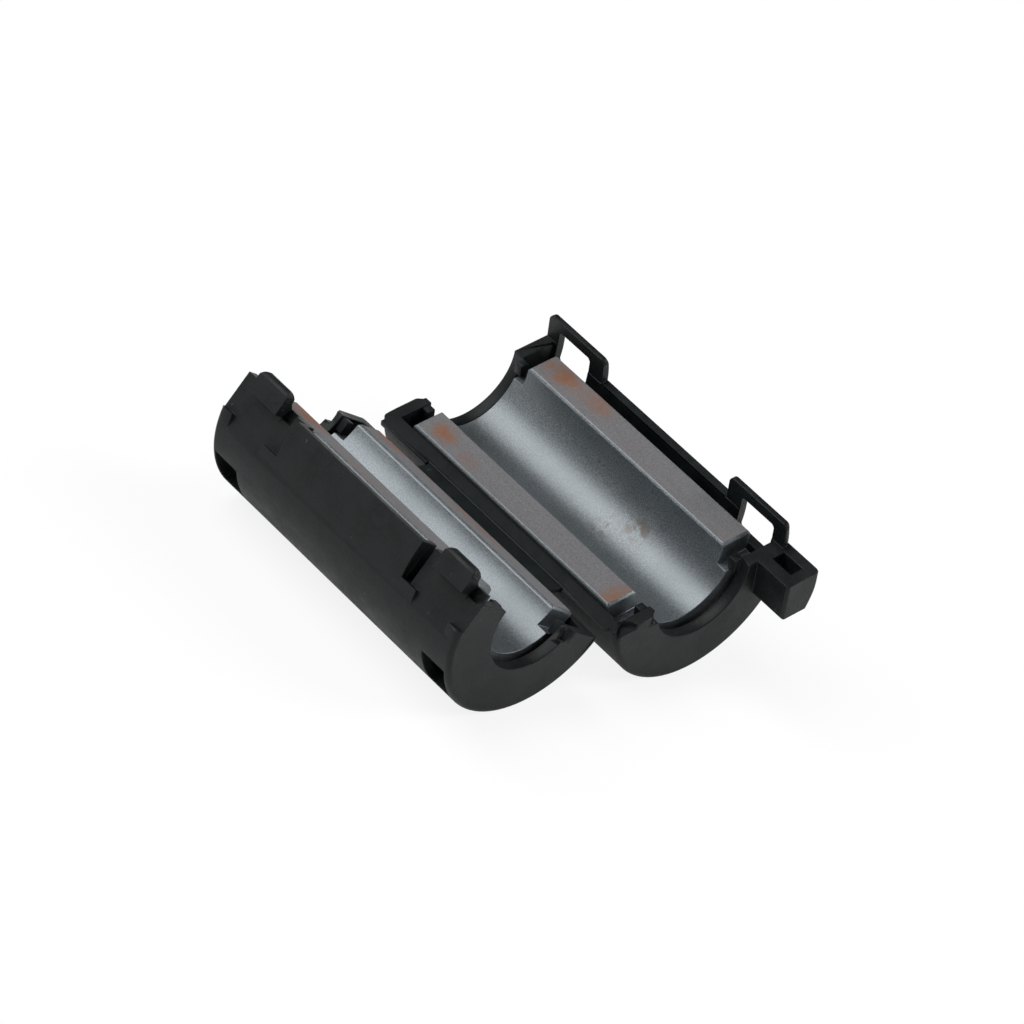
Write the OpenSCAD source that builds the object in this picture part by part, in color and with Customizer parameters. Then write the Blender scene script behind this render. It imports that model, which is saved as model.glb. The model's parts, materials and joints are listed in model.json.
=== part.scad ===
// Clip-on ferrite bead, open, with a tie head on its case.
//
// Two half-round ferrite cores sit in the two halves of a moulded case. A thin
// web along the middle of the case is its hinge. Each half is drawn closed-side
// up in its own frame: X runs outward from the hinge axis, Y along the cable,
// Z up out of the core's mating face, which lies at Z = 0.

/* [Core] */
// Radius of the cable channel through the core
bore_r = 4.9; // [4.2:0.05:5.3]
// Outside radius of the core
core_r = 8.1; // [7.6:0.05:8.3]
// Length of the core along the cable
core_len = 28.8; // [27:0.2:34]
// How far each mating rail stops short of the core's end
rail_cut = 1.2; // [0.9:0.05:1.6]
// Depth of the step that is left at each end of a rail
rail_step = 2; // [1.4:0.05:2.6]

/* [Case] */
// Thickness of the case's curved wall
wall = 0.9; // [0.7:0.05:1.2]
// Thickness of the case's end walls
end_wall = 1.15; // [0.9:0.05:1.8]
// Gap between the core's end and the end wall
end_gap = 0.45; // [0.2:0.05:0.6]
// Room between the core and the curved wall, spanned by the seat ribs under the core
core_room = 0.8; // [0.75:0.05:1.2]
// How far the case's axis lies outward of the core's axis
case_shift = 0.45; // [0.25:0.05:0.5]
// How far the case's axis lies below the core's mating face
case_drop = 0.3; // [0.1:0.05:0.4]
// How far the case's rim lies below the core's mating face
rim_drop = 0.5; // [0.42:0.02:0.7]
// Radius on the edge between the curved wall and an end face
end_round = 0.5; // [0.2:0.05:0.7]
// Width of each rib that the core sits on
rib_w = 1.2; // [0.8:0.1:1.6]
// Angle round the core from the lowest rib to the one on each side
rib_angle = 55; // [52:1:60]
// Gap left under the core, which its tabs hold up off the ribs
core_fit = 0.05; // [0.02:0.01:0.1]

/* [End mouths] */
// How much wider the case's cable mouths are than the cable channel
mouth_gap = 0.2; // [0.1:0.05:0.35]
// Radius on the corners of the end walls between the cable mouth and the hinge
mouth_round = 0.6; // [0.3:0.05:0.8]
// Width of the tabs that hook over the steps of the core
tab_w = 0.85; // [0.6:0.05:1.1]
// Depth of the tabs' upper face below the core's mating face
tab_drop = 1; // [0.6:0.05:1.3]
// Gap between a tab and the end of its rail
tab_gap = 0.25; // [0.1:0.05:0.4]
// Radius of the half-moon recess beside the hinge at the tie-head end
moon_r = 1.05; // [0.8:0.05:1.2]
// Wall between that recess and the case's edge by the hinge
moon_edge = 0.15; // [0.1:0.05:0.4]
// Depth of that recess below the rim
moon_deep = 0.5; // [0.2:0.05:0.8]
// Width along the cable of the tool windows low on the case
port_w = 2.9; // [2:0.1:3.2]
// Gap between a tool window and the end face
port_inset = 0.55; // [0.4:0.05:1]
// Angle round the case at which a tool window begins, below the rim
port_from = 47; // [40:1:52]
// Angle round the case at which a tool window ends
port_to = 71; // [64:1:76]

/* [Hinge] */
// Distance from the hinge axis to the case's curved wall
hinge_reach = 1.05; // [1:0.01:1.4]
// Length of the hinge web along the case
web_len = 18; // [12:0.5:22]
// Thickness of the hinge web
web_t = 0.35; // [0.25:0.05:0.45]
// Depth of the web's upper face below the hinge axis
web_drop = 0.3; // [0.2:0.05:0.4]
// Running gap between the web's free edge and the loop half
web_gap = 0.03; // [0.02:0.01:0.08]
// Height of the lip that carries the web on each half
lip_h = 0.8; // [0.5:0.05:1]
// How far that lip runs on past each end of the web
lip_run = 0.4; // [0.2:0.1:0.8]
// How far the ledge beside the web stays short of the hinge axis
ledge_gap = 0.25; // [0.15:0.05:0.6]
// Thickness of that ledge
ledge_t = 0.45; // [0.3:0.05:0.6]
// Thickness of the case's rim beside the hinge
hinge_rim = 1.2; // [1:0.05:1.2]
// Height of that thicker rim
hinge_rim_h = 1.6; // [1:0.1:2.2]

/* [Latch] */
// Width of the window in each latch loop
window_w = 4.2; // [3.6:0.1:4.6]
// Width of the loop's leg next to the end face
leg_end = 1.5; // [1.3:0.05:1.8]
// Width of the loop's other leg
leg_mid = 1.8; // [1.5:0.05:2.4]
// Thickness of a loop where it leaves the rim
loop_t = 0.85; // [0.65:0.05:1]
// Height of a loop above the mating face
loop_h = 2.05; // [1.8:0.05:2.6]
// Height of the bar across the top of a loop
bar_h = 1.1; // [0.8:0.05:1.2]
// Depth of the window below the mating face
window_drop = 2.7; // [2.2:0.05:3]
// Radius on the loop's upper corners
loop_round = 0.6; // [0.2:0.05:0.8]
// Height of a hook above the mating face
hook_h = 1.25; // [1:0.05:1.5]
// Thickness of a hook at its rounded top
hook_t = 1.15; // [0.8:0.05:1.2]
// How much thicker a hook is at its root
hook_root = 0.5; // [0.2:0.05:0.6]
// How far a hook stands out of the pad below it
nose = 1.15; // [0.9:0.05:1.25]
// Gap on each side of a hook inside its loop
hook_gap = 0.25; // [0.1:0.05:0.35]
// Gap between a hook's underside and the bar that it holds
catch_gap = 0.15; // [0.1:0.05:0.25]
// Radius on the hook's upper corners
hook_round = 0.7; // [0.2:0.05:0.8]
// Gap between a closed loop and the pad behind it
pad_gap = 0.2; // [0.15:0.05:0.35]
// Thickness of the solid behind a pad
pad_t = 1; // [0.8:0.05:1]
// Depth below the mating face to which a pad is cut
pad_drop = 3.45; // [3.35:0.05:3.9]
// Further depth of the pad straight below a hook
root_drop = 1.25; // [0.8:0.05:1.3]
// Width of the slit beside a pad
slit_w = 0.6; // [0.4:0.05:0.8]
// Width of the notch beside each hook
notch_w = 1.1; // [0.5:0.05:1.2]
// Depth of the notch beside each hook, below the mating face
notch_drop = 1.5; // [1:0.05:2]

/* [Tie head] */
// How far the tie head reaches past the end face
head_len = 3.9; // [3.4:0.1:4.6]
// Width of the tie head, inward from the case's outermost line
head_w = 3.7; // [3.4:0.05:4.2]
// Height of the tie head, down from the rim
head_h = 4.05; // [3.4:0.05:4.6]
// Width of the slot for the strap's thickness
slot_w = 1.35; // [1:0.05:1.6]
// Length of the slot for the strap's width
slot_len = 2.4; // [2:0.05:2.6]
// Wall between the slot and the head's inner side
slot_inset = 1.3; // [1:0.05:1.4]
// Wall between the slot and the case's end face
slot_start = 0.4; // [0.2:0.05:0.6]
// Radius on the head's free corners
head_round = 0.35; // [0.2:0.05:0.5]

/* [Rest] */
// Upward tilt of each half's mating face as the bead lies open
tilt = 20.5; // [10:0.5:35]

/* [Hidden] */
$fn = 96;

// How far cutting solids run past the faces that they cut
over = 1;
// Sizes that follow from the driving ones
case_len = core_len + 2 * (end_gap + end_wall);
cavity_len = core_len + 2 * end_gap;
rail_len = core_len - 2 * rail_cut;
cavity_r = core_r + core_room;
case_r = cavity_r + wall;
case_x = hinge_reach + case_r;
core_x = case_x - case_shift;
edge_x = case_x + case_r;
mouth_r = bore_r + mouth_gap;
loop_x = edge_x - loop_t;
pad_x = loop_x - pad_gap;
hook_x = pad_x + nose;
// Middle, inner edge and windows of a latch, along the cable
latch_y = case_len / 2 - leg_end - window_w / 2;
latch_in = case_len / 2 - leg_end - window_w - leg_mid;
hook_w = window_w - 2 * hook_gap;
window_top = loop_h - bar_h;
// The hinge axis stands this far above the surface that the bead lies on
axis_z = case_r - case_x * sin(tilt) + case_drop * cos(tilt);
// The case's middle lies this far along Y, which centres the bead with its tie head
mid_y = head_len / 2;

// Flat outline in X and Z carried along the cable, centred at y
module along(len, y = 0) {
    translate([0, y, 0]) rotate([90, 0, 0])
        linear_extrude(height = len, center = true) children();
}

// Flat outline in Y and Z carried outward from x by t
module outward(x, t) {
    translate([x, 0, 0]) rotate([90, 0, 90]) linear_extrude(height = t) children();
}

// Disc about the case's axis, as a flat outline
module case_disc(r) {
    translate([case_x, -case_drop]) circle(r);
}

// Everything below height z, as a flat outline
module below(z) {
    translate([-over, z - 4 * case_r]) square([4 * case_r, 4 * case_r]);
}

// Rectangle with its two upper corners rounded
module arched(w, h, r) {
    translate([-w / 2, 0]) square([w, h - r]);
    translate([-w / 2 + r, 0]) square([w - 2 * r, h]);
    for (s = [-1, 1]) translate([s * (w / 2 - r), h - r]) circle(r);
}

// Half-round core with rails that stop short of its ends
module core() {
    difference() {
        intersection() {
            along(core_len) translate([core_x, 0]) difference() {
                circle(core_r);
                circle(bore_r);
            }
            along(core_len + over) below(0);
        }
        for (s = [-1, 1])
            translate([0, s > 0 ? rail_len / 2 : -core_len / 2 - over, -rail_step])
                cube([core_x + core_r + over, rail_cut + over, rail_step + over]);
    }
}

// The case's full round outside, with its end edges rounded
module case_round() {
    translate([case_x, 0, -case_drop]) rotate([90, 0, 0]) rotate_extrude() {
        translate([0, -case_len / 2]) square([case_r - end_round, case_len]);
        translate([0, end_round - case_len / 2]) square([case_r, case_len - 2 * end_round]);
        for (s = [-1, 1])
            translate([case_r - end_round, s * (case_len / 2 - end_round)]) circle(end_round);
    }
}

// Outside of one half of the case
module case_blank() {
    intersection() {
        case_round();
        along(case_len + over) below(-rim_drop);
    }
}

// Hollow for the core, less the thicker rim beside the hinge
module cavity() {
    difference() {
        along(cavity_len) case_disc(cavity_r);
        translate([0, -case_len / 2, -rim_drop - hinge_rim_h])
            cube([hinge_reach + hinge_rim, case_len, hinge_rim_h + rim_drop + over]);
    }
}

// Ribs along the floor of the hollow that the core sits on
module seat_ribs() {
    along(cavity_len + end_wall) difference() {
        intersection() {
            case_disc(cavity_r + wall / 2);
            for (turn = [-rib_angle, 0, rib_angle])
                translate([core_x, 0]) rotate(turn)
                    translate([-rib_w / 2, -2 * case_r]) square([rib_w, 2 * case_r]);
        }
        translate([core_x, 0]) circle(core_r + core_fit);
    }
}

// Tabs at both ends that hook over the steps of the core
module tabs() {
    reach = cavity_len / 2 - rail_len / 2 - tab_gap + end_wall / 2;
    for (side = [-1, 1], s = [-1, 1])
        translate([core_x + side * (bore_r + core_r) / 2, s * (rail_len / 2 + tab_gap + reach), 0])
            mirror([0, s > 0 ? 1 : 0, 0])
                translate([0, 0, -rail_step])
                    linear_extrude(height = rail_step - tab_drop) arched(tab_w, reach, tab_w / 3);
}

// What is taken off the end walls' corners between the cable mouth and the hinge
module mouth_corners() {
    for (s = [-1, 1])
        translate([core_x - mouth_r, s * case_len / 2, -rim_drop - 2 * mouth_round])
            mirror([0, s < 0 ? 1 : 0, 0]) difference() {
                translate([-mouth_round, -mouth_round, 0])
                    cube([mouth_round + over, mouth_round + over, 2 * mouth_round + over]);
                translate([-mouth_round, -mouth_round, -over])
                    cylinder(r = mouth_round, h = 2 * mouth_round + 3 * over);
            }
}

// Windows that the moulding tool leaves low on the latch side
module ports() {
    middle = (port_from + port_to) / 2;
    high = 2 * case_r * sin((port_to - port_from) / 2);
    for (s = [-1, 1])
        translate([case_x, s * (case_len / 2 - port_inset - port_w / 2), -case_drop])
            rotate([0, middle, 0])
                translate([cavity_r - core_room / 2, -port_w / 2, -high / 2])
                    cube([case_r, port_w, high]);
}

// Half-moon recess in the loop half's rim
module moon() {
    translate([hinge_reach + moon_edge + moon_r, -case_len / 2, -rim_drop - moon_deep])
        cylinder(r = moon_r, h = moon_deep + over);
}

// Lip that carries the hinge web, hollowed to the web's circle
module hinge_lip() {
    along(web_len + 2 * lip_run) difference() {
        translate([0, -rim_drop - lip_h]) square([hinge_reach + wall, lip_h]);
        circle(hinge_reach);
        translate([0, -rim_drop - lip_h - over]) square([hinge_reach / 2, 2 * lip_h + over]);
    }
}

// Ledges of the hook half that run on from the web to both ends
module hinge_ledges() {
    len = (case_len - web_len) / 2 - end_round;
    for (s = [-1, 1]) along(len, s * (web_len + len) / 2)
        translate([ledge_gap, -rim_drop - ledge_t]) square([hinge_reach + wall - ledge_gap, ledge_t]);
}

// One half of the case before its latch is added
module half_case() {
    difference() {
        case_blank();
        cavity();
        along(case_len + over) translate([core_x, -case_drop]) circle(mouth_r);
        ports();
        mouth_corners();
    }
    seat_ribs();
    tabs();
    hinge_lip();
}

// Loops that stand on the rim at both ends and carry on the case's curve
module loops() {
    intersection() {
        case_round();
        for (s = [-1, 1])
            outward(loop_x, 2 * loop_t) translate([s * (case_len / 2 + latch_in) / 2, -rim_drop - wall])
                arched(case_len / 2 - latch_in, loop_h + rim_drop + wall, loop_round);
    }
}

// Openings through the loops and the wall below them
module windows() {
    bevel = hook_gap;
    right = window_w / 2;
    for (s = [-1, 1])
        outward(core_x + core_r + core_room / 2, case_r) translate([s * latch_y, 0])
            polygon([
                [-right, bevel - window_drop], [bevel - right, -window_drop],
                [right - bevel, -window_drop], [right, bevel - window_drop],
                [right, window_top - bevel], [right - bevel, window_top],
                [bevel - right, window_top], [-right, window_top - bevel]
            ]);
}

// Block at one end that takes a cable tie, following the case's curve
module tie_head() {
    start = case_len / 2 - end_round - head_round;
    top = -rim_drop;
    difference() {
        along(case_len / 2 + head_len - start, -(start + case_len / 2 + head_len) / 2) intersection() {
            case_disc(case_r);
            translate([edge_x - head_w, top - head_h]) union() {
                translate([head_round, 0]) square([head_w, head_h]);
                translate([0, head_round]) square([head_w, head_h - head_round]);
                translate([head_round, head_round]) circle(head_round);
            }
        }
        translate([edge_x - head_w + slot_inset, -case_len / 2 - slot_start - slot_len, top - head_h - over])
            cube([slot_w, slot_len, head_h + 2 * over]);
        head_corners();
    }
}

// What is taken off the head's two free upright corners
module head_corners() {
    for (side = [0, 1])
        translate([edge_x - (side == 0 ? head_w : 0), -case_len / 2 - head_len, -rim_drop - head_h - over])
            mirror([side, 0, 0]) difference() {
                translate([-over, -over, 0])
                    cube([over + head_round, over + head_round, head_h + 2 * over]);
                translate([head_round, head_round, -over])
                    cylinder(r = head_round, h = head_h + 4 * over);
            }
}

// Solid behind the pads of one half, that the hooks grow from
module pad_backs() {
    for (s = [-1, 1])
        intersection() {
            along(case_len / 2 - latch_in, s * (case_len / 2 + latch_in - end_wall) / 2) intersection() {
                case_disc(case_r - wall / 2);
                translate([pad_x - pad_t, -pad_drop - root_drop - wall])
                    square([case_r, pad_drop + root_drop + wall - rim_drop]);
            }
            along(case_len) below(-rim_drop);
        }
}

// Flats cut into the outside where the loops lie when the case is shut
module pads() {
    for (s = [-1, 1]) {
        translate([pad_x, s > 0 ? latch_in - pad_gap / 2 : -case_len / 2 - over, -pad_drop])
            cube([case_r, case_len / 2 - latch_in + pad_gap / 2 + over, pad_drop + over]);
        translate([pad_x, s * latch_y - window_w / 2, -pad_drop - root_drop])
            cube([case_r, window_w, pad_drop]);
    }
}

// Slit at the inner edge of one pad, and a notch beside each hook
module slits() {
    translate([core_x + core_r, -latch_in - slit_w, -pad_drop])
        cube([case_r, slit_w, pad_drop + over]);
    for (s = [-1, 1])
        translate([core_x + core_r, s * latch_y - hook_w / 2 - notch_w, -notch_drop])
            cube([case_r, notch_w, notch_drop + over]);
}

// Side outline of a hook: a rounded top over a nose that overhangs the pad
module hook_side() {
    tip = hook_h - hook_t / 2;
    catch = catch_gap - window_top;
    translate([hook_x - hook_t / 2, tip]) circle(hook_t / 2);
    polygon([
        [hook_x, catch], [hook_x, tip], [hook_x - hook_t, tip],
        [pad_x - hook_root, -rim_drop], [pad_x - hook_root, catch]
    ]);
}

// Hooks that the loops snap over
module hooks() {
    foot = rim_drop + window_top;
    for (s = [-1, 1]) intersection() {
        along(hook_w, s * latch_y) hook_side();
        outward(pad_x - pad_t, case_r) translate([s * latch_y, -foot])
            arched(hook_w, hook_h + foot, hook_round);
    }
}

// Places one half in the open bead: side 1 leans right, side -1 leans left
module place(side) {
    translate([0, mid_y, axis_z]) mirror([side < 0 ? 1 : 0, 0, 0]) rotate([0, -tilt, 0]) children();
}

// Cross-section of the web, on its own circle about the hinge axis
module web_section(r) {
    intersection() {
        circle(r);
        translate([-2 * r, -web_drop - web_t]) square([4 * r, web_t]);
    }
}

// Line along which the web meets its root on the hook half
root_x = -hinge_reach / 2;

// Edge of the web that is one with the hook half
module web_root() {
    translate([0, mid_y, axis_z]) along(web_len) intersection() {
        web_section(hinge_reach + wall / 2);
        translate([root_x - case_r, -case_r]) square([case_r, 2 * case_r]);
    }
}

module hook_shell() {
    color([0.13, 0.13, 0.14]) union() {
        place(-1) {
            difference() {
                union() {
                    half_case();
                    pad_backs();
                }
                pads();
                slits();
            }
            hinge_ledges();
            hooks();
        }
        web_root();
    }
}

module loop_shell() {
    color([0.15, 0.15, 0.16]) place(1) {
        difference() {
            union() {
                half_case();
                loops();
            }
            windows();
            moon();
        }
        tie_head();
    }
}

module living_hinge() {
    color([0.11, 0.11, 0.12]) translate([0, mid_y, axis_z]) along(web_len) intersection() {
        web_section(hinge_reach - web_gap);
        translate([root_x, -case_r]) square([case_r, 2 * case_r]);
    }
}

module hook_side_core() {
    color([0.45, 0.44, 0.45]) place(-1) core();
}

module loop_side_core() {
    color([0.47, 0.46, 0.47]) place(1) core();
}

hook_shell();
loop_shell();
living_hinge();
hook_side_core();
loop_side_core();
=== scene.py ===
"""Looks of an open clip-on ferrite bead: a moulded snap case with two half-round ferrite cores."""

import json
import logging
import math
from dataclasses import dataclass
from enum import Enum

import bmesh
import bpy
from mathutils import Matrix, Vector
from mathutils.bvhtree import BVHTree


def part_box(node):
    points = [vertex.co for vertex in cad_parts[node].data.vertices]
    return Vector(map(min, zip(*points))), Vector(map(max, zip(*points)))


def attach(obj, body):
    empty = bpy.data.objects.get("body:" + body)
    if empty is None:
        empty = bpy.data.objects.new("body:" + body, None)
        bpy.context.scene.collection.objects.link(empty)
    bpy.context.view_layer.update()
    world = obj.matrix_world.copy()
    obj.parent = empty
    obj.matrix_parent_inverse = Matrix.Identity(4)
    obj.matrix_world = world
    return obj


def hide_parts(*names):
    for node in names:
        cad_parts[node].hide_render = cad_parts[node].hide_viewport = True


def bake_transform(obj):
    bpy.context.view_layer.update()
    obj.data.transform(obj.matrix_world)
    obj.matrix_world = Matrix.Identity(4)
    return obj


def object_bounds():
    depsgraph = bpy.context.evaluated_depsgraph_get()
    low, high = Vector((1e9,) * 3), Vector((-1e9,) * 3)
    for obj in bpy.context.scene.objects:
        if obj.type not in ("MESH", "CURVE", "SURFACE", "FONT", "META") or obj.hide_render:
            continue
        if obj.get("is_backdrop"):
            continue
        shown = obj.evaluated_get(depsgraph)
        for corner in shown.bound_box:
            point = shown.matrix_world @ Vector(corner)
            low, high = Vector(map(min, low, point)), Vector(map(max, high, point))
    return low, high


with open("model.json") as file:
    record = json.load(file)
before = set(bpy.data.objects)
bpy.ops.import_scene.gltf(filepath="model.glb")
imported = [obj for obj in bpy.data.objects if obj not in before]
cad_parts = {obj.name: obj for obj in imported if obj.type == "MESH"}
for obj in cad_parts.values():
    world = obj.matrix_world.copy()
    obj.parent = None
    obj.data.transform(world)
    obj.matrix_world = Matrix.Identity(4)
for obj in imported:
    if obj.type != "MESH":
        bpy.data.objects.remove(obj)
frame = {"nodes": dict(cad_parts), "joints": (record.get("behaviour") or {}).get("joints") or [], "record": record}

log = logging.getLogger("ferrite_bead")

MM = 0.001
Triple = tuple[float, float, float]
Colour = Triple | bpy.types.NodeSocket
Range = tuple[float, float]


class Side(Enum):
    """The two halves of the bead, by the latch part that each carries."""

    HOOK = "hook"
    LOOP = "loop"

    @property
    def sign(self) -> int:
        """Direction along X in which the half lies from the hinge."""
        return -1 if self is Side.HOOK else 1

    @property
    def body(self) -> str:
        """Name of the CAD body that the half rides on."""
        return f"{self.value}_half"


@dataclass(frozen=True)
class HalfFrame:
    """Places points of one half, given along its mating face, in the bead's own frame."""

    side: Side
    hinge: Vector
    tilt: float

    @classmethod
    def of(cls, side: Side) -> "HalfFrame":
        """Reads the half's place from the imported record.

        Args:
            side: the half to place.

        Returns:
            The half's frame, in metres and radians.
        """
        hinge = Vector(frame["joints"][0]["pos_m"])
        seat = next(m for m in frame["record"]["mounts"] if m["name"] == f"{side.value}_side_seat")
        arm = Vector(seat["pos_m"]) - hinge
        return cls(side, hinge, math.atan2(arm.z, abs(arm.x)))

    def point(self, out: float, along: float, up: float) -> Vector:
        """Turns a place on the half into one in the bead's frame.

        Args:
            out: distance from the hinge axis along the mating face, in mm.
            along: distance along the cable from the case's middle, in mm.
            up: height over the mating face, in mm.

        Returns:
            The point in metres.
        """
        c, s = math.cos(self.tilt), math.sin(self.tilt)
        x = (out * c - up * s) * MM * self.side.sign
        return self.hinge + Vector((x, along * MM, (out * s + up * c) * MM))

    def normal(self) -> Vector:
        """Direction in which the mating face looks."""
        return Vector((-math.sin(self.tilt) * self.side.sign, 0.0, math.cos(self.tilt)))

    def matrix(self) -> Matrix:
        """Turns places on the half, in mm with Y as the cable axis, into the bead's frame."""
        turn = Matrix.Rotation(0.0 if self.side is Side.LOOP else math.pi, 4, "Z")
        lean = Matrix.Rotation(-self.tilt, 4, "Y")
        return Matrix.Translation(self.hinge) @ turn @ lean @ Matrix.Scale(MM, 4)


class Graph:
    """A node tree under construction, with the sums that all its users share."""

    def __init__(self, tree: bpy.types.NodeTree) -> None:
        """Takes hold of the tree."""
        self.nodes = tree.nodes
        self.links = tree.links

    def feed(self, slot: bpy.types.NodeSocket, value: Colour | float) -> None:
        """Gives an input its value.

        Args:
            slot: the input.
            value: a number, a colour, or an output to link.
        """
        if isinstance(value, bpy.types.NodeSocket):
            self.links.new(value, slot)
        else:
            slot.default_value = (*value, 1.0) if isinstance(value, tuple) else value

    def maths(self, operation: str, *values: bpy.types.NodeSocket | float) -> bpy.types.NodeSocket:
        """Joins values by arithmetic.

        Args:
            operation: the sum to work, such as MULTIPLY or MAXIMUM.
            values: sockets or plain numbers, in order.

        Returns:
            The result.
        """
        node = self.nodes.new("ShaderNodeMath")
        node.operation = operation
        for slot, value in zip(node.inputs, values):
            self.feed(slot, value)
        return node.outputs[0]

    def span(self, source: bpy.types.NodeSocket, low: float, high: float,
             to_low: float = 0.0, to_high: float = 1.0) -> bpy.types.NodeSocket:
        """Maps a value's range smoothly onto another.

        Args:
            source: the value.
            low: where the range begins.
            high: where it ends.
            to_low: result at the beginning.
            to_high: result at the end.

        Returns:
            The mapped value.
        """
        node = self.nodes.new("ShaderNodeMapRange")
        node.interpolation_type = "SMOOTHSTEP"
        ends = {"From Min": low, "From Max": high, "To Min": to_low, "To Max": to_high}
        for name, value in ends.items():
            node.inputs[name].default_value = value
        self.links.new(source, node.inputs["Value"])
        return node.outputs["Result"]


class Finish(Graph):
    """A material under construction, and the few kinds of node that finishes use."""

    def __init__(self, name: str, roughness: float, specular: float = 0.5) -> None:
        """Starts a plain surface.

        Args:
            name: the material's name.
            roughness: how dull the surface is, from 0 to 1.
            specular: strength of its plain reflection, 0.5 being that of its index.
        """
        self.material = bpy.data.materials.new(name)
        self.material.use_nodes = True
        super().__init__(self.material.node_tree)
        self.shader = self.nodes["Principled BSDF"]
        self.shader.inputs["Roughness"].default_value = roughness
        self.shader.inputs["Specular IOR Level"].default_value = specular
        self.place = self.nodes.new("ShaderNodeTexCoord").outputs["Object"]

    def stretched(self, scale: Triple, turn: float) -> bpy.types.NodeSocket:
        """Object coordinates scaled along each axis after a turn about Y.

        Args:
            scale: factor along X, Y and Z.
            turn: angle about Y in radians.

        Returns:
            The changed coordinates.
        """
        mapping = self.nodes.new("ShaderNodeMapping")
        mapping.inputs["Rotation"].default_value = (0.0, turn, 0.0)
        mapping.inputs["Scale"].default_value = scale
        self.links.new(self.place, mapping.inputs["Vector"])
        return mapping.outputs["Vector"]

    def noise(self, size: float, detail: float = 2.0, rough: float = 0.5,
              place: bpy.types.NodeSocket | None = None) -> bpy.types.NodeSocket:
        """Cloudy pattern.

        Args:
            size: width of its larger patches, in mm.
            detail: how many finer layers it has.
            rough: strength of the finer layers.
            place: coordinates to use in place of the plain ones.

        Returns:
            The pattern's value, around 0.5.
        """
        node = self.nodes.new("ShaderNodeTexNoise")
        node.inputs["Scale"].default_value = 1.0 / (size * MM)
        node.inputs["Detail"].default_value = detail
        node.inputs["Roughness"].default_value = rough
        self.links.new(place or self.place, node.inputs["Vector"])
        return node.outputs["Fac"]

    def mixed(self, factor: bpy.types.NodeSocket | float,
              first: Colour, second: Colour) -> bpy.types.NodeSocket:
        """Blends two colours.

        Args:
            factor: share of the second colour.
            first: a colour or a socket that gives one.
            second: a colour or a socket that gives one.

        Returns:
            The blended colour.
        """
        node = self.nodes.new("ShaderNodeMix")
        node.data_type = "RGBA"
        for slot, value in ((0, factor), (6, first), (7, second)):
            self.feed(node.inputs[slot], value)
        return node.outputs[2]

    def spot(self, centre: Vector, reach: Triple, turn: float) -> bpy.types.NodeSocket:
        """Soft round patch, 1 in its middle and 0 outside its reach.

        Args:
            centre: its middle in the bead's frame.
            reach: its half width along X, Y and Z in mm, after the turn.
            turn: angle about Y in radians.

        Returns:
            The patch's strength.
        """
        mapping = self.nodes.new("ShaderNodeMapping")
        mapping.vector_type = "TEXTURE"
        mapping.inputs["Location"].default_value = centre
        mapping.inputs["Rotation"].default_value = (0.0, turn, 0.0)
        mapping.inputs["Scale"].default_value = tuple(r * MM for r in reach)
        self.links.new(self.place, mapping.inputs["Vector"])
        length = self.nodes.new("ShaderNodeVectorMath")
        length.operation = "LENGTH"
        self.links.new(mapping.outputs["Vector"], length.inputs[0])
        return self.span(length.outputs["Value"], 0.0, 1.0, 1.0, 0.0)

    def colour(self, source: bpy.types.NodeSocket) -> None:
        """Gives the surface its colour."""
        self.links.new(source, self.shader.inputs["Base Color"])

    def dullness(self, source: bpy.types.NodeSocket) -> None:
        """Gives the surface a roughness that varies."""
        self.links.new(source, self.shader.inputs["Roughness"])

    def relief(self, height: bpy.types.NodeSocket, depth: float) -> None:
        """Raises the surface by a pattern.

        Args:
            height: the pattern, from 0 to 1.
            depth: its height in mm.
        """
        node = self.nodes.new("ShaderNodeBump")
        node.inputs["Distance"].default_value = depth * MM
        node.inputs["Strength"].default_value = 1.0
        self.links.new(height, node.inputs["Height"])
        self.links.new(node.outputs["Normal"], self.shader.inputs["Normal"])


@dataclass(frozen=True)
class Stain:
    """A patch of rust on one core's mating face, or a brown smudge in its channel."""

    out: float
    along: float
    reach_out: float
    reach_along: float
    strength: float
    up: float = 0.0

    def patch(self, finish: Finish, half: HalfFrame) -> bpy.types.NodeSocket:
        """Where the stain lies on a surface.

        Args:
            finish: the surface's finish.
            half: the half that the surface belongs to.

        Returns:
            The stain's strength before its own factor, from 0 to 1.
        """
        reach = (self.reach_out, self.reach_along, self.reach_out)
        centre = half.point(self.out, self.along, self.up)
        return finish.spot(centre, reach, -half.tilt * half.side.sign)


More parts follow.
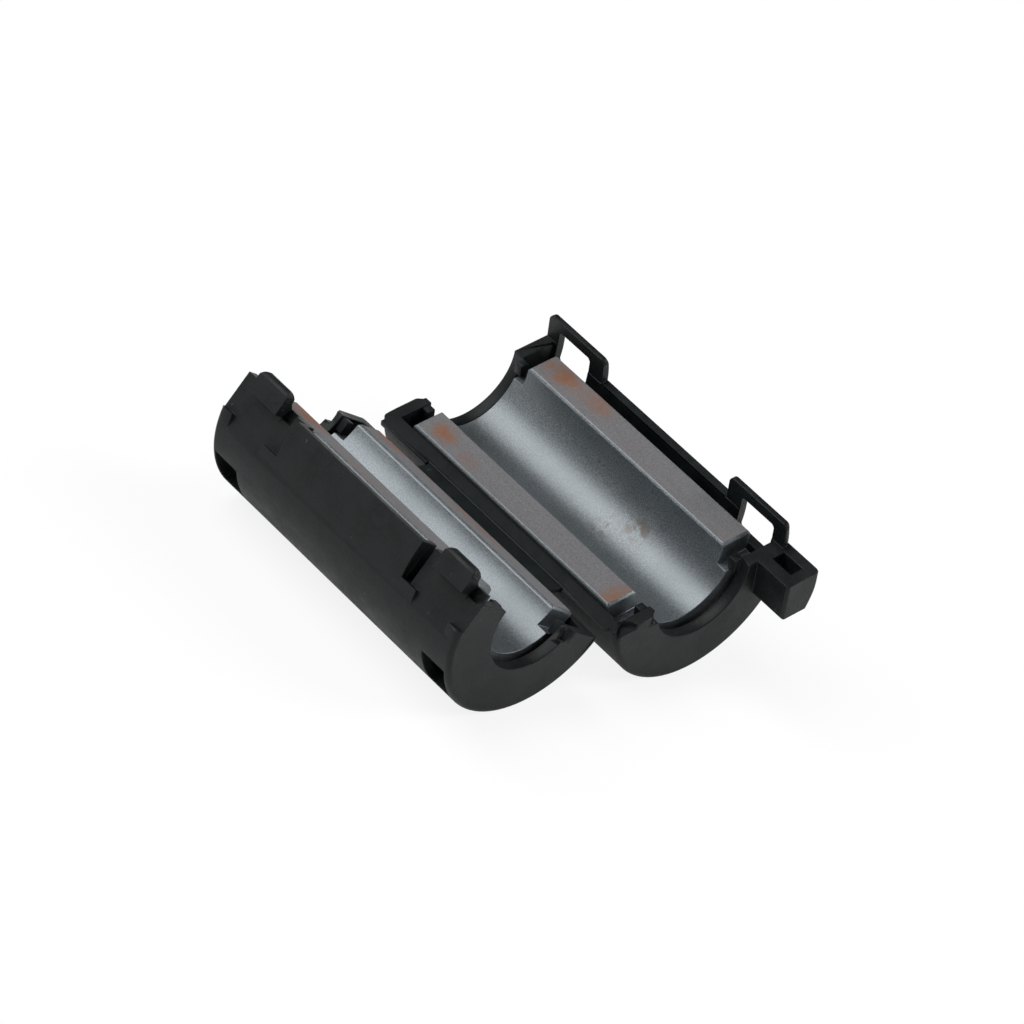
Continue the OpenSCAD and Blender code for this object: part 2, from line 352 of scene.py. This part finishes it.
@dataclass(frozen=True)
class MouldedPlastic:
    """Charcoal nylon with the fine texture of a spark-eroded mould and a little wear."""

    base: Triple = (0.0034, 0.0050, 0.0053)
    dusty: Triple = (0.0088, 0.0112, 0.0116)
    scuffed: Triple = (0.115, 0.120, 0.120)
    scuff_share: float = 0.6
    roughness: float = 0.44
    specular: float = 0.18
    grain_size: float = 0.15
    grain_depth: float = 0.030
    cloud_size: float = 3.2
    speck_size: float = 0.42
    mottle_size: float = 0.5

    def make(self, name: str) -> bpy.types.Material:
        """Builds the material.

        Args:
            name: the material's name.

        Returns:
            The finished material.
        """
        f = Finish(name, self.roughness, self.specular)
        grain = f.noise(self.grain_size, 3.0, 0.6)
        cloud = f.noise(self.cloud_size, 4.0, 0.6)
        speck = f.noise(self.speck_size, 2.0, 0.55)
        mottle = f.noise(self.mottle_size, 4.0, 0.7)
        rubbed = f.maths("MULTIPLY", f.span(speck, 0.72, 0.77), f.span(cloud, 0.46, 0.58))
        tone = f.mixed(f.span(cloud, 0.35, 0.68), self.base, self.dusty)
        tone = f.mixed(f.span(mottle, 0.42, 0.64, 0.0, 0.45), tone, self.dusty)
        tone = f.mixed(f.span(grain, 0.34, 0.70, 0.0, 0.45), tone, self.dusty)
        f.colour(f.mixed(f.maths("MULTIPLY", rubbed, self.scuff_share), tone, self.scuffed))
        f.dullness(f.span(cloud, 0.3, 0.7, self.roughness - 0.06, self.roughness + 0.08))
        f.relief(grain, self.grain_depth)
        return f.material


@dataclass(frozen=True)
class GroundFerrite:
    """Mating rails ground flat: warm grey with fine speckle, faint grinding lines and rust."""

    base: Triple = (0.151, 0.151, 0.158)
    light: Triple = (0.215, 0.216, 0.226)
    dark: Triple = (0.092, 0.091, 0.095)
    rust: Triple = (0.225, 0.102, 0.055)
    film: Triple = (0.172, 0.124, 0.105)
    even_share: float = 0.45
    haze_share: float = 0.7
    roughness: float = 0.88
    specular: float = 0.02
    speckle_size: float = 0.13
    cloud_size: float = 4.0
    line_size: float = 0.5
    line_stretch: Triple = (3.0, 0.06, 3.0)
    line_share: float = 0.5
    blotch_size: float = 0.9
    depth: float = 0.006

    def make(self, name: str, half: HalfFrame, stains: tuple[Stain, ...]) -> bpy.types.Material:
        """Builds the material of one half's rails.

        Args:
            name: the material's name.
            half: the half that the core lies in.
            stains: its patches of rust.

        Returns:
            The finished material.
        """
        f = Finish(name, self.roughness, self.specular)
        along_rails = f.stretched(self.line_stretch, -half.tilt * half.side.sign)
        speckle = f.noise(self.speckle_size, 3.0, 0.65)
        cloud = f.noise(self.cloud_size, 3.0, 0.55)
        lines = f.noise(self.line_size, 2.0, 0.5, along_rails)
        ragged = f.span(f.noise(self.blotch_size, 5.0, 0.68), 0.36, 0.62)
        tone = f.mixed(f.span(speckle, 0.32, 0.70), self.dark, self.light)
        tone = f.mixed(self.even_share, tone, self.base)
        tone = f.mixed(f.span(lines, 0.35, 0.7, 0.0, 0.16), tone, self.light)
        for stain in stains:
            patch = stain.patch(f, half)
            haze = f.maths("MULTIPLY", patch, self.haze_share * stain.strength)
            crust = f.maths("MULTIPLY", f.maths("MULTIPLY", patch, ragged), stain.strength)
            tone = f.mixed(crust, f.mixed(haze, tone, self.film), self.rust)
        f.colour(f.mixed(f.span(cloud, 0.4, 0.7, 0.0, 0.12), tone, self.film))
        f.relief(f.maths("ADD", f.maths("MULTIPLY", lines, self.line_share), speckle), self.depth)
        return f.material


@dataclass(frozen=True)
class FiredFerrite:
    """Fired ferrite as pressed: bluish slate with a satin sheen and a fine bright grain."""

    base: Triple = (0.108, 0.126, 0.136)
    light: Triple = (0.235, 0.262, 0.276)
    dark: Triple = (0.056, 0.066, 0.073)
    smudge: Triple = (0.062, 0.046, 0.036)
    even_share: float = 0.30
    roughness: float = 0.41
    metallic: float = 0.68
    index: float = 2.0
    grain_size: float = 0.12
    grain_depth: float = 0.014
    cloud_size: float = 5.0
    blotch_size: float = 0.9

    def make(self, name: str, half: HalfFrame, smudges: tuple[Stain, ...]) -> bpy.types.Material:
        """Builds the material of one half's channel and outside.

        Args:
            name: the material's name.
            half: the half that the core lies in.
            smudges: brown marks in its channel.

        Returns:
            The finished material.
        """
        f = Finish(name, self.roughness)
        f.shader.inputs["Metallic"].default_value = self.metallic
        f.shader.inputs["IOR"].default_value = self.index
        grain = f.noise(self.grain_size, 3.0, 0.7)
        cloud = f.noise(self.cloud_size, 3.0, 0.5)
        ragged = f.span(f.noise(self.blotch_size, 4.0, 0.7), 0.46, 0.56)
        tone = f.mixed(f.span(grain, 0.34, 0.70), self.dark, self.light)
        tone = f.mixed(self.even_share, tone, self.base)
        tone = f.mixed(f.span(cloud, 0.35, 0.7, 0.0, 0.25), tone, self.dark)
        for mark in smudges:
            patch = f.maths("MULTIPLY", mark.patch(f, half), ragged)
            tone = f.mixed(f.maths("MULTIPLY", patch, mark.strength), tone, self.smudge)
        f.colour(tone)
        f.dullness(f.span(grain, 0.3, 0.7, self.roughness - 0.08, self.roughness + 0.10))
        f.relief(grain, self.grain_depth)
        return f.material


class Workpiece:
    """A copy of a CAD solid laid in its half's own frame, in mm, to be shaped and finished."""

    JOINED = 0.002
    MERGED = 0.02
    CUT = 0.0005
    FLAT = math.radians(0.6)
    CREASE = math.radians(28.0)
    SHARP = math.radians(40.0)
    TRIES = 14
    STRAY = 0.6
    CLEAR = 3

    def __init__(self, node: str, half: HalfFrame) -> None:
        """Copies the solid and merges its loose triangles.

        Args:
            node: the CAD node to copy.
            half: the half that it belongs to.
        """
        self.place = half.matrix()
        self.bm = bmesh.new()
        self.bm.from_mesh(frame["nodes"][node].data)
        self.bm.transform(self.place.inverted())
        self.merge(self.JOINED)

    def merge(self, reach: float) -> None:
        """Merges points that lie within a reach, in mm, of each other."""
        bmesh.ops.remove_doubles(self.bm, verts=self.bm.verts, dist=reach)

    def flatten(self) -> None:
        """Joins the triangles of each flat face."""
        bmesh.ops.dissolve_limit(self.bm, angle_limit=self.FLAT,
                                 verts=self.bm.verts, edges=self.bm.edges)

    def split(self, out: float) -> None:
        """Cuts new edges where a plane across the mating face meets the surface.

        Args:
            out: the plane's distance from the hinge axis, in mm.
        """
        normal = Vector((1.0, 0.0, 0.0))
        geometry = [*self.bm.verts, *self.bm.edges, *self.bm.faces]
        bmesh.ops.bisect_plane(self.bm, geom=geometry, plane_co=normal * out, plane_no=normal,
                               dist=self.CUT)

    def lift(self, low: Triple, high: Triple, rise: float) -> None:
        """Raises all the points in a box.

        Args:
            low: the box's lowest corner.
            high: its highest corner.
            rise: how far the points move, in mm.
        """
        first, last = Vector(low), Vector(high)
        chosen = [v for v in self.bm.verts
                  if all(a <= c <= b for a, b, c in zip(first, last, v.co))]
        bmesh.ops.translate(self.bm, vec=Vector((0.0, 0.0, rise)), verts=chosen)

    def join(self, tool: bmesh.types.BMesh, operation: str = "UNION") -> None:
        """Joins another solid to the piece, or cuts it out.

        Args:
            tool: the other solid, which is used up.
            operation: UNION or DIFFERENCE.
        """
        made = []
        for name, source in (("work", self.bm), ("tool", tool)):
            mesh = bpy.data.meshes.new(name)
            source.to_mesh(mesh)
            source.free()
            made.append(bpy.data.objects.new(name, mesh))
            bpy.context.scene.collection.objects.link(made[-1])
        work, cutter = made
        modifier = work.modifiers.new("join", "BOOLEAN")
        modifier.operation, modifier.solver, modifier.object = operation, "MANIFOLD", cutter
        shaped = work.evaluated_get(bpy.context.evaluated_depsgraph_get())
        result = bpy.data.meshes.new_from_object(shaped)
        self.bm = bmesh.new()
        self.bm.from_mesh(result)
        self.merge(self.JOINED)
        for thing in made:
            mesh = thing.data
            bpy.data.objects.remove(thing)
            bpy.data.meshes.remove(mesh)
        bpy.data.meshes.remove(result)

    def broken(self, edge: float) -> bmesh.types.BMesh:
        """Breaks the sharp edges, and leaves those alone where the breaks would run wild.

        Args:
            edge: width of the broken edge in mm.

        Returns:
            The piece with its edges broken.
        """
        skin = BVHTree.FromBMesh(self.bm)
        kept: list[Vector] = []
        for _ in range(self.TRIES):
            bm = self.bm.copy()
            sharp = [e for e in bm.edges
                     if len(e.link_faces) == 2 and e.calc_face_angle() > self.CREASE
                     and not any((v.co - spot).length < self.CLEAR * edge
                                 for v in e.verts for spot in kept)]
            bmesh.ops.bevel(bm, geom=sharp, offset=edge, offset_type="OFFSET", segments=2,
                            profile=0.5, material=-1, affect="EDGES", clamp_overlap=False)
            wild = [v for v in bm.verts if skin.find_nearest(v.co)[3] > self.STRAY * edge]
            if not wild:
                break
            kept += [e.other_vert(v).co.copy() for v in wild for e in v.link_edges]
            kept += [v.co.copy() for v in wild]
        return bm

    def finished(self, name: str, edge: float) -> bpy.types.Object:
        """Joins the triangles into clean faces, breaks the sharp edges and puts the piece in place.

        Args:
            name: the new piece's name.
            edge: width of the broken edge in mm.

        Returns:
            The new piece, linked to the scene.
        """
        self.merge(self.MERGED)
        self.flatten()
        bm = self.broken(edge)
        for face in bm.faces:
            face.smooth = True
        bm.transform(self.place)
        low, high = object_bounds()
        for v in bm.verts:
            v.co = Vector(max(a, min(b, c)) for a, b, c in zip(low, high, v.co))
        mesh = bpy.data.meshes.new(name)
        bm.to_mesh(mesh)
        bm.free()
        mesh.materials.clear()
        mesh.set_sharp_from_angle(angle=self.SHARP)
        piece = bpy.data.objects.new(name, mesh)
        bpy.context.scene.collection.objects.link(piece)
        even = piece.modifiers.new("flat_faces", "WEIGHTED_NORMAL")
        even.keep_sharp, even.weight = True, 100
        return piece


def block(out: Range, along: Range, up: Range) -> bmesh.types.BMesh:
    """Makes a plain block.

    Args:
        out: where it begins and ends from the hinge axis, in mm.
        along: where it begins and ends along the cable.
        up: where it begins and ends over the mating face.

    Returns:
        The block.
    """
    first, last = (Vector(corner) for corner in zip(out, along, up))
    bm = bmesh.new()
    bmesh.ops.create_cube(bm, size=1.0)
    bmesh.ops.scale(bm, vec=last - first, verts=bm.verts)
    bmesh.ops.translate(bm, vec=(first + last) / 2, verts=bm.verts)
    return bm


@dataclass
class FerriteCore:
    """One half-round core with ground rails and a satin channel."""

    side: Side
    rust: tuple[Stain, ...] = ()
    smudges: tuple[Stain, ...] = ()
    edge: float = 0.07
    rail_end: float = 13.2
    chamfer: float = 0.22
    near: float = 0.01
    ground_slope: float = 0.9
    ground_depth: float = 0.1
    ground: GroundFerrite = GroundFerrite()
    fired: FiredFerrite = FiredFerrite()

    def chamfer_rails(self, work: Workpiece) -> None:
        """Breaks the upper edge at each end of the rails with a wider flat.

        Args:
            work: the core's copy.
        """
        work.flatten()
        ends = [e for e in work.bm.edges
                if all(abs(v.co.z) < self.near and abs(abs(v.co.y) - self.rail_end) < self.near
                       for v in e.verts)]
        bmesh.ops.bevel(work.bm, geom=ends, offset=self.chamfer, offset_type="OFFSET", segments=1,
                        profile=0.5, material=-1, affect="EDGES", clamp_overlap=False)

    def build(self) -> bpy.types.Object:
        """Makes and dresses the core.

        Returns:
            The finished piece.
        """
        name, half = self.side.value, HalfFrame.of(self.side)
        node = f"{name}_side_core"
        work = Workpiece(node, half)
        self.chamfer_rails(work)
        piece = work.finished(f"{name}_core_ferrite", self.edge)
        channel = self.fired.make(f"{name}_fired_ferrite", half, self.smudges)
        rails = self.ground.make(f"{name}_ground_ferrite", half, self.rust)
        piece.data.materials.append(channel)
        piece.data.materials.append(rails)
        normal, level = half.normal(), half.point(0.0, 0.0, 0.0)
        for face in piece.data.polygons:
            height = (face.center - level).dot(normal)
            if face.normal.dot(normal) > self.ground_slope and height > -self.ground_depth * MM:
                face.material_index = 1
        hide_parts(node)
        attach(piece, self.side.body)
        return piece


@dataclass(frozen=True)
class Tab:
    """Room taken by the tabs that hold a core, alike on both sides of it and at both ends."""

    middle: float
    half_width: float
    along: Range
    up: Range

    def blocks(self, centre: float) -> list[bmesh.types.BMesh]:
        """Makes the tabs at both ends, on one side of the core.

        Args:
            centre: the middle of that side's tabs, from the hinge axis.

        Returns:
            The tab at the end where Y grows, and the other one.
        """
        out = (centre - self.half_width, centre + self.half_width)
        start, stop = self.along
        return [block(out, along, self.up) for along in ((start, stop), (-stop, -start))]


@dataclass
class CaseShell:
    """One moulded half of the case with its latch parts, measured in mm in its own frame."""

    side: Side
    edge: float = 0.08
    plastic: MouldedPlastic = MouldedPlastic()
    near: float = 0.02
    end: float = 16.0
    end_wall: float = 1.15
    rim: float = -0.5
    core_x: float = 10.4
    case_x: float = 10.85
    mouth_drop: float = -0.3
    mouth_r: float = 5.1
    mouth_slack: float = 0.03
    wall_slack: float = 0.05
    wide_mouth_r: float = 5.2
    cad_tab: Tab = Tab(6.5, 0.5, (13.3, 14.83), (-2.1, -0.9))
    tab: Tab = Tab(5.325, 0.42, (14.05, 14.95), (-1.9, -0.6))
    core_edge: float = 18.5
    latch_start: float = 15.0
    beyond: float = 25.0
    above: float = 5.0
    hook_tip: float = 0.62
    hook_rise: float = 0.25
    wall_rise: float = 0.65
    wall_end: float = 14.3
    notches: tuple[Range, ...] = ((14.15, 15.45), (-10.65, -9.35))
    notch_back: Range = (18.58, 19.05)
    notch_floor: Range = (18.8, 19.59)
    notch_foot: float = -1.6
    notch_level: float = -0.9
    notch_sink: float = 0.01
    cut_ledges: tuple[Range, ...] = ((9.45, 17.0), (-17.0, -9.45))
    cut_out: Range = (-0.5, 1.04)
    cut_up: Range = (-1.5, 0.5)
    ledges: tuple[Range, ...] = ((9.3, 15.5), (-14.9, -9.3))
    ledge_out: Range = (0.5, 2.0)
    ledge_up: Range = (-0.95, -0.503)

    def recentre_mouths(self, work: Workpiece) -> None:
        """Moves the cable mouths from the core's axis to the case's own.

        Args:
            work: the shell's copy.
        """
        for v in work.bm.verts:
            arm = Vector((v.co.x - self.core_x, v.co.z - self.mouth_drop))
            in_wall = abs(v.co.y) > self.end - self.end_wall - self.wall_slack
            if in_wall and abs(arm.length - self.mouth_r) < self.mouth_slack:
                arm *= self.wide_mouth_r / arm.length
                on_rim = abs(v.co.z - self.rim) < self.near
                v.co.x = self.case_x + arm.x
                v.co.z = self.rim if on_rim else self.mouth_drop + arm.y

    def reset_tabs(self, work: Workpiece) -> None:
        """Sets the core's tabs at the channel's side of each rail, short of the rail's end.

        Args:
            work: the shell's copy.
        """
        for side in (-1, 1):
            for tab, operation in ((self.cad_tab, "DIFFERENCE"), (self.tab, "UNION")):
                for solid in tab.blocks(self.core_x + tab.middle * side):
                    work.join(solid, operation)

    def raise_latch_rim(self, work: Workpiece) -> None:
        """Lifts the rim beside the hooks so that it hides the core's flank, and the hooks.

        Args:
            work: the hook shell's copy.
        """
        work.split(self.core_edge)
        work.split(self.core_edge + 2 * self.near)
        work.lift((self.latch_start, -self.end, self.hook_tip),
                  (self.beyond, self.end, self.above), self.hook_rise)
        work.lift((self.core_edge + self.near, -self.end - self.near, self.rim - self.near),
                  (self.beyond, self.wall_end, self.rim + self.near), self.wall_rise)
        top = self.rim + self.wall_rise - self.notch_sink
        for notch in self.notches:
            work.join(block(self.notch_back, notch, (self.notch_foot, top)))
            work.join(block(self.notch_floor, notch, (self.notch_foot, self.notch_level)))
        for ledge in self.cut_ledges:
            work.join(block(self.cut_out, ledge, self.cut_up), "DIFFERENCE")

    def add_ledges(self, work: Workpiece) -> None:
        """Runs the ledge on beside the hinge, to the far end and to the near end's recess.

        Args:
            work: the loop shell's copy.
        """
        for ledge in self.ledges:
            work.join(block(self.ledge_out, ledge, self.ledge_up))

    def build(self) -> bpy.types.Object:
        """Makes and dresses the shell.

        Returns:
            The finished piece.
        """
        node = f"{self.side.value}_shell"
        work = Workpiece(node, HalfFrame.of(self.side))
        self.recentre_mouths(work)
        self.reset_tabs(work)
        if self.side is Side.HOOK:
            self.raise_latch_rim(work)
        else:
            self.add_ledges(work)
        piece = work.finished(f"{self.side.value}_case_shell", self.edge)
        piece.data.materials.append(self.plastic.make(f"{self.side.value}_case_plastic"))
        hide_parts(node)
        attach(piece, self.side.body)
        return piece


@dataclass
class FilmHinge:
    """Thin web that joins the halves, made as a block cut into strips across its width."""

    strips: int = 14
    plastic: MouldedPlastic = MouldedPlastic()

    def build(self) -> bpy.types.Object:
        """Makes the web inside the CAD web's box, cut into strips across its width.

        Returns:
            The finished piece.
        """
        low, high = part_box("living_hinge")
        middle, size = (low + high) / 2, high - low
        mesh = bpy.data.meshes.new("film_hinge_web")
        bm = bmesh.new()
        bmesh.ops.create_cube(bm, size=1.0)
        bmesh.ops.scale(bm, vec=size, verts=bm.verts)
        bmesh.ops.translate(bm, vec=middle, verts=bm.verts)
        across = [e for e in bm.edges if abs(e.verts[0].co.x - e.verts[1].co.x) > size.x / 2]
        bmesh.ops.subdivide_edges(bm, edges=across, cuts=self.strips - 1, use_grid_fill=True)
        bm.normal_update()
        bm.to_mesh(mesh)
        bm.free()
        piece = bpy.data.objects.new("film_hinge_web", mesh)
        bpy.context.scene.collection.objects.link(piece)
        mesh.materials.append(self.plastic.make("hinge_plastic"))
        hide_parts("living_hinge")
        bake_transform(piece)
        return piece


@dataclass(frozen=True)
class Lamp:
    """A soft oval lamp that looks at the bead, with its place and size in mm."""

    name: str
    spot: Triple
    size: Range
    level: float

    def hang(self) -> None:
        """Puts the lamp in the scene."""
        data = bpy.data.lights.new(self.name, "AREA")
        data.shape = "ELLIPSE"
        data.size, data.size_y = (s * MM for s in self.size)
        reach = Vector(self.spot) * MM
        data.energy = self.level * reach.length_squared * math.pi
        lamp = bpy.data.objects.new(self.name, data)
        back = reach.normalized()
        wide = Vector((0.0, 1.0, 0.0)).cross(back).normalized()
        turned = Matrix((wide, back.cross(wide), back)).transposed().to_4x4()
        lamp.matrix_world = Matrix.Translation(reach) @ turned
        bpy.context.scene.collection.objects.link(lamp)


@dataclass
class Studio:
    """Pale floor, soft lamps and the camera, with angles in degrees and lengths in mm."""

    azimuth: float = -54.946
    elevation: float = 28.564
    roll: float = 24.545
    distance: float = 460.0
    target: Triple = (-7.610, -5.075, 13.889)
    focal: float = 194.28
    sensor: float = 36.0
    clip: Range = (0.01, 10.0)
    sky: float = 0.06
    horizon: float = 1.0
    horizon_band: Range = (0.08, 0.34)
    floor_size: float = 2.0
    floor_paint: Triple = (0.94, 0.94, 0.94)
    floor_white: float = 0.86
    floor_shine: float = 0.30
    lamps: tuple[Lamp, ...] = (
        Lamp("high_back", (-458.0, 462.0, 758.0), (1060.0, 900.0), 3.5),
        Lamp("right_front", (600.0, -450.0, 640.0), (620.0, 620.0), 1.7),
    )

    def camera(self) -> None:
        """Places the camera and makes it the scene's own."""
        az, el, roll = (math.radians(v) for v in (self.azimuth, self.elevation, self.roll))
        level = math.cos(el)
        back = Vector((math.sin(az) * level, -math.cos(az) * level, math.sin(el)))
        right = (-back).cross(Vector((0.0, 0.0, 1.0))).normalized()
        up = right.cross(-back)
        level_right = right * math.cos(roll) + up * math.sin(roll)
        level_up = up * math.cos(roll) - right * math.sin(roll)
        turned = Matrix((level_right, level_up, back)).transposed().to_4x4()
        data = bpy.data.cameras.new("studio_camera")
        data.lens, data.sensor_width = self.focal, self.sensor
        data.clip_start, data.clip_end = self.clip
        camera = bpy.data.objects.new("studio_camera", data)
        spot = (Vector(self.target) + back * self.distance) * MM
        camera.matrix_world = Matrix.Translation(spot) @ turned
        bpy.context.scene.collection.objects.link(camera)
        bpy.context.scene.camera = camera

    def light(self) -> None:
        """Hangs the lamps and sets an even light, brightest near the horizon, around the bead."""
        for lamp in self.lamps:
            lamp.hang()
        world = bpy.data.worlds.new("even_light")
        bpy.context.scene.world = world
        world.use_nodes = True
        g = Graph(world.node_tree)
        sky = g.nodes["Background"]
        sky.inputs["Color"].default_value = (1.0, 1.0, 1.0, 1.0)
        apart = g.nodes.new("ShaderNodeSeparateXYZ")
        around = g.nodes.new("ShaderNodeTexCoord").outputs["Generated"]
        g.links.new(around, apart.inputs["Vector"])
        level = g.span(apart.outputs["Z"], *self.horizon_band, self.horizon, self.sky)
        g.links.new(level, sky.inputs["Strength"])

    def floor(self) -> None:
        """Lays the pale floor under the bead, of which it isn't part."""
        mesh = bpy.data.meshes.new("floor")
        bm = bmesh.new()
        bmesh.ops.create_grid(bm, x_segments=1, y_segments=1, size=self.floor_size)
        bm.to_mesh(mesh)
        bm.free()
        floor = bpy.data.objects.new("floor", mesh)
        bpy.context.scene.collection.objects.link(floor)
        mesh.materials.append(self.floor_material())
        floor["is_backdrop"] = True

    def floor_material(self) -> bpy.types.Material:
        """Makes a paint that takes shadows and still looks white to the camera.

        Returns:
            The finished material.
        """
        material = bpy.data.materials.new("pale_floor")
        material.use_nodes = True
        g = Graph(material.node_tree)
        g.nodes.clear()
        out = g.nodes.new("ShaderNodeOutputMaterial")
        paint = g.nodes.new("ShaderNodeBsdfDiffuse")
        g.feed(paint.inputs["Color"], self.floor_paint)
        white = g.nodes.new("ShaderNodeEmission")
        white.inputs["Strength"].default_value = 1.0
        ray = g.nodes.new("ShaderNodeLightPath").outputs
        seen = g.maths("MULTIPLY", ray["Is Camera Ray"], self.floor_white)
        mirrored = g.maths("MULTIPLY", ray["Is Glossy Ray"], self.floor_shine)
        through = g.maths("MULTIPLY", ray["Is Transmission Ray"], self.floor_shine)
        share = g.maths("MAXIMUM", g.maths("MAXIMUM", seen, mirrored), through)
        both = g.nodes.new("ShaderNodeMixShader")
        g.links.new(share, both.inputs[0])
        g.links.new(paint.outputs[0], both.inputs[1])
        g.links.new(white.outputs[0], both.inputs[2])
        g.links.new(both.outputs[0], out.inputs["Surface"])
        return material


HOOK_RUST = (
    Stain(2.6, 11.2, 1.9, 3.4, 1.0),
    Stain(2.4, 6.6, 1.0, 2.4, 0.6),
    Stain(16.6, 11.0, 1.7, 4.4, 1.0),
    Stain(17.6, 3.0, 1.0, 5.0, 0.3),
    Stain(3.2, -1.0, 1.4, 6.0, 0.4),
)
LOOP_RUST = (
    Stain(17.2, 10.8, 1.7, 3.6, 1.0),
    Stain(17.5, 6.2, 1.5, 3.0, 0.7),
    Stain(3.8, 10.8, 1.5, 2.2, 1.0),
    Stain(3.5, 7.0, 1.0, 1.9, 0.6),
    Stain(3.6, -12.7, 3.0, 1.5, 1.0),
)
LOOP_SMUDGES = (
    Stain(11.7, -2.4, 2.4, 1.7, 1.0, -4.7),
    Stain(13.2, -4.9, 2.0, 2.6, 1.0, -4.0),
)


def main() -> None:
    """Builds the bead and its studio, and logs the number of faces of each piece."""
    logging.basicConfig(level=logging.INFO, format="%(name)s: %(message)s")
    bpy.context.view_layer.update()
    bpy.context.scene.view_settings.view_transform = "Standard"
    studio = Studio()
    studio.camera()
    studio.light()
    studio.floor()
    pieces = [
        CaseShell(Side.HOOK).build(),
        CaseShell(Side.LOOP).build(),
        FilmHinge().build(),
        FerriteCore(Side.HOOK, HOOK_RUST).build(),
        FerriteCore(Side.LOOP, LOOP_RUST, LOOP_SMUDGES).build(),
    ]
    for piece in pieces:
        log.info("%s: %d faces", piece.name, len(piece.data.polygons))


if __name__ == "__main__":
    main()
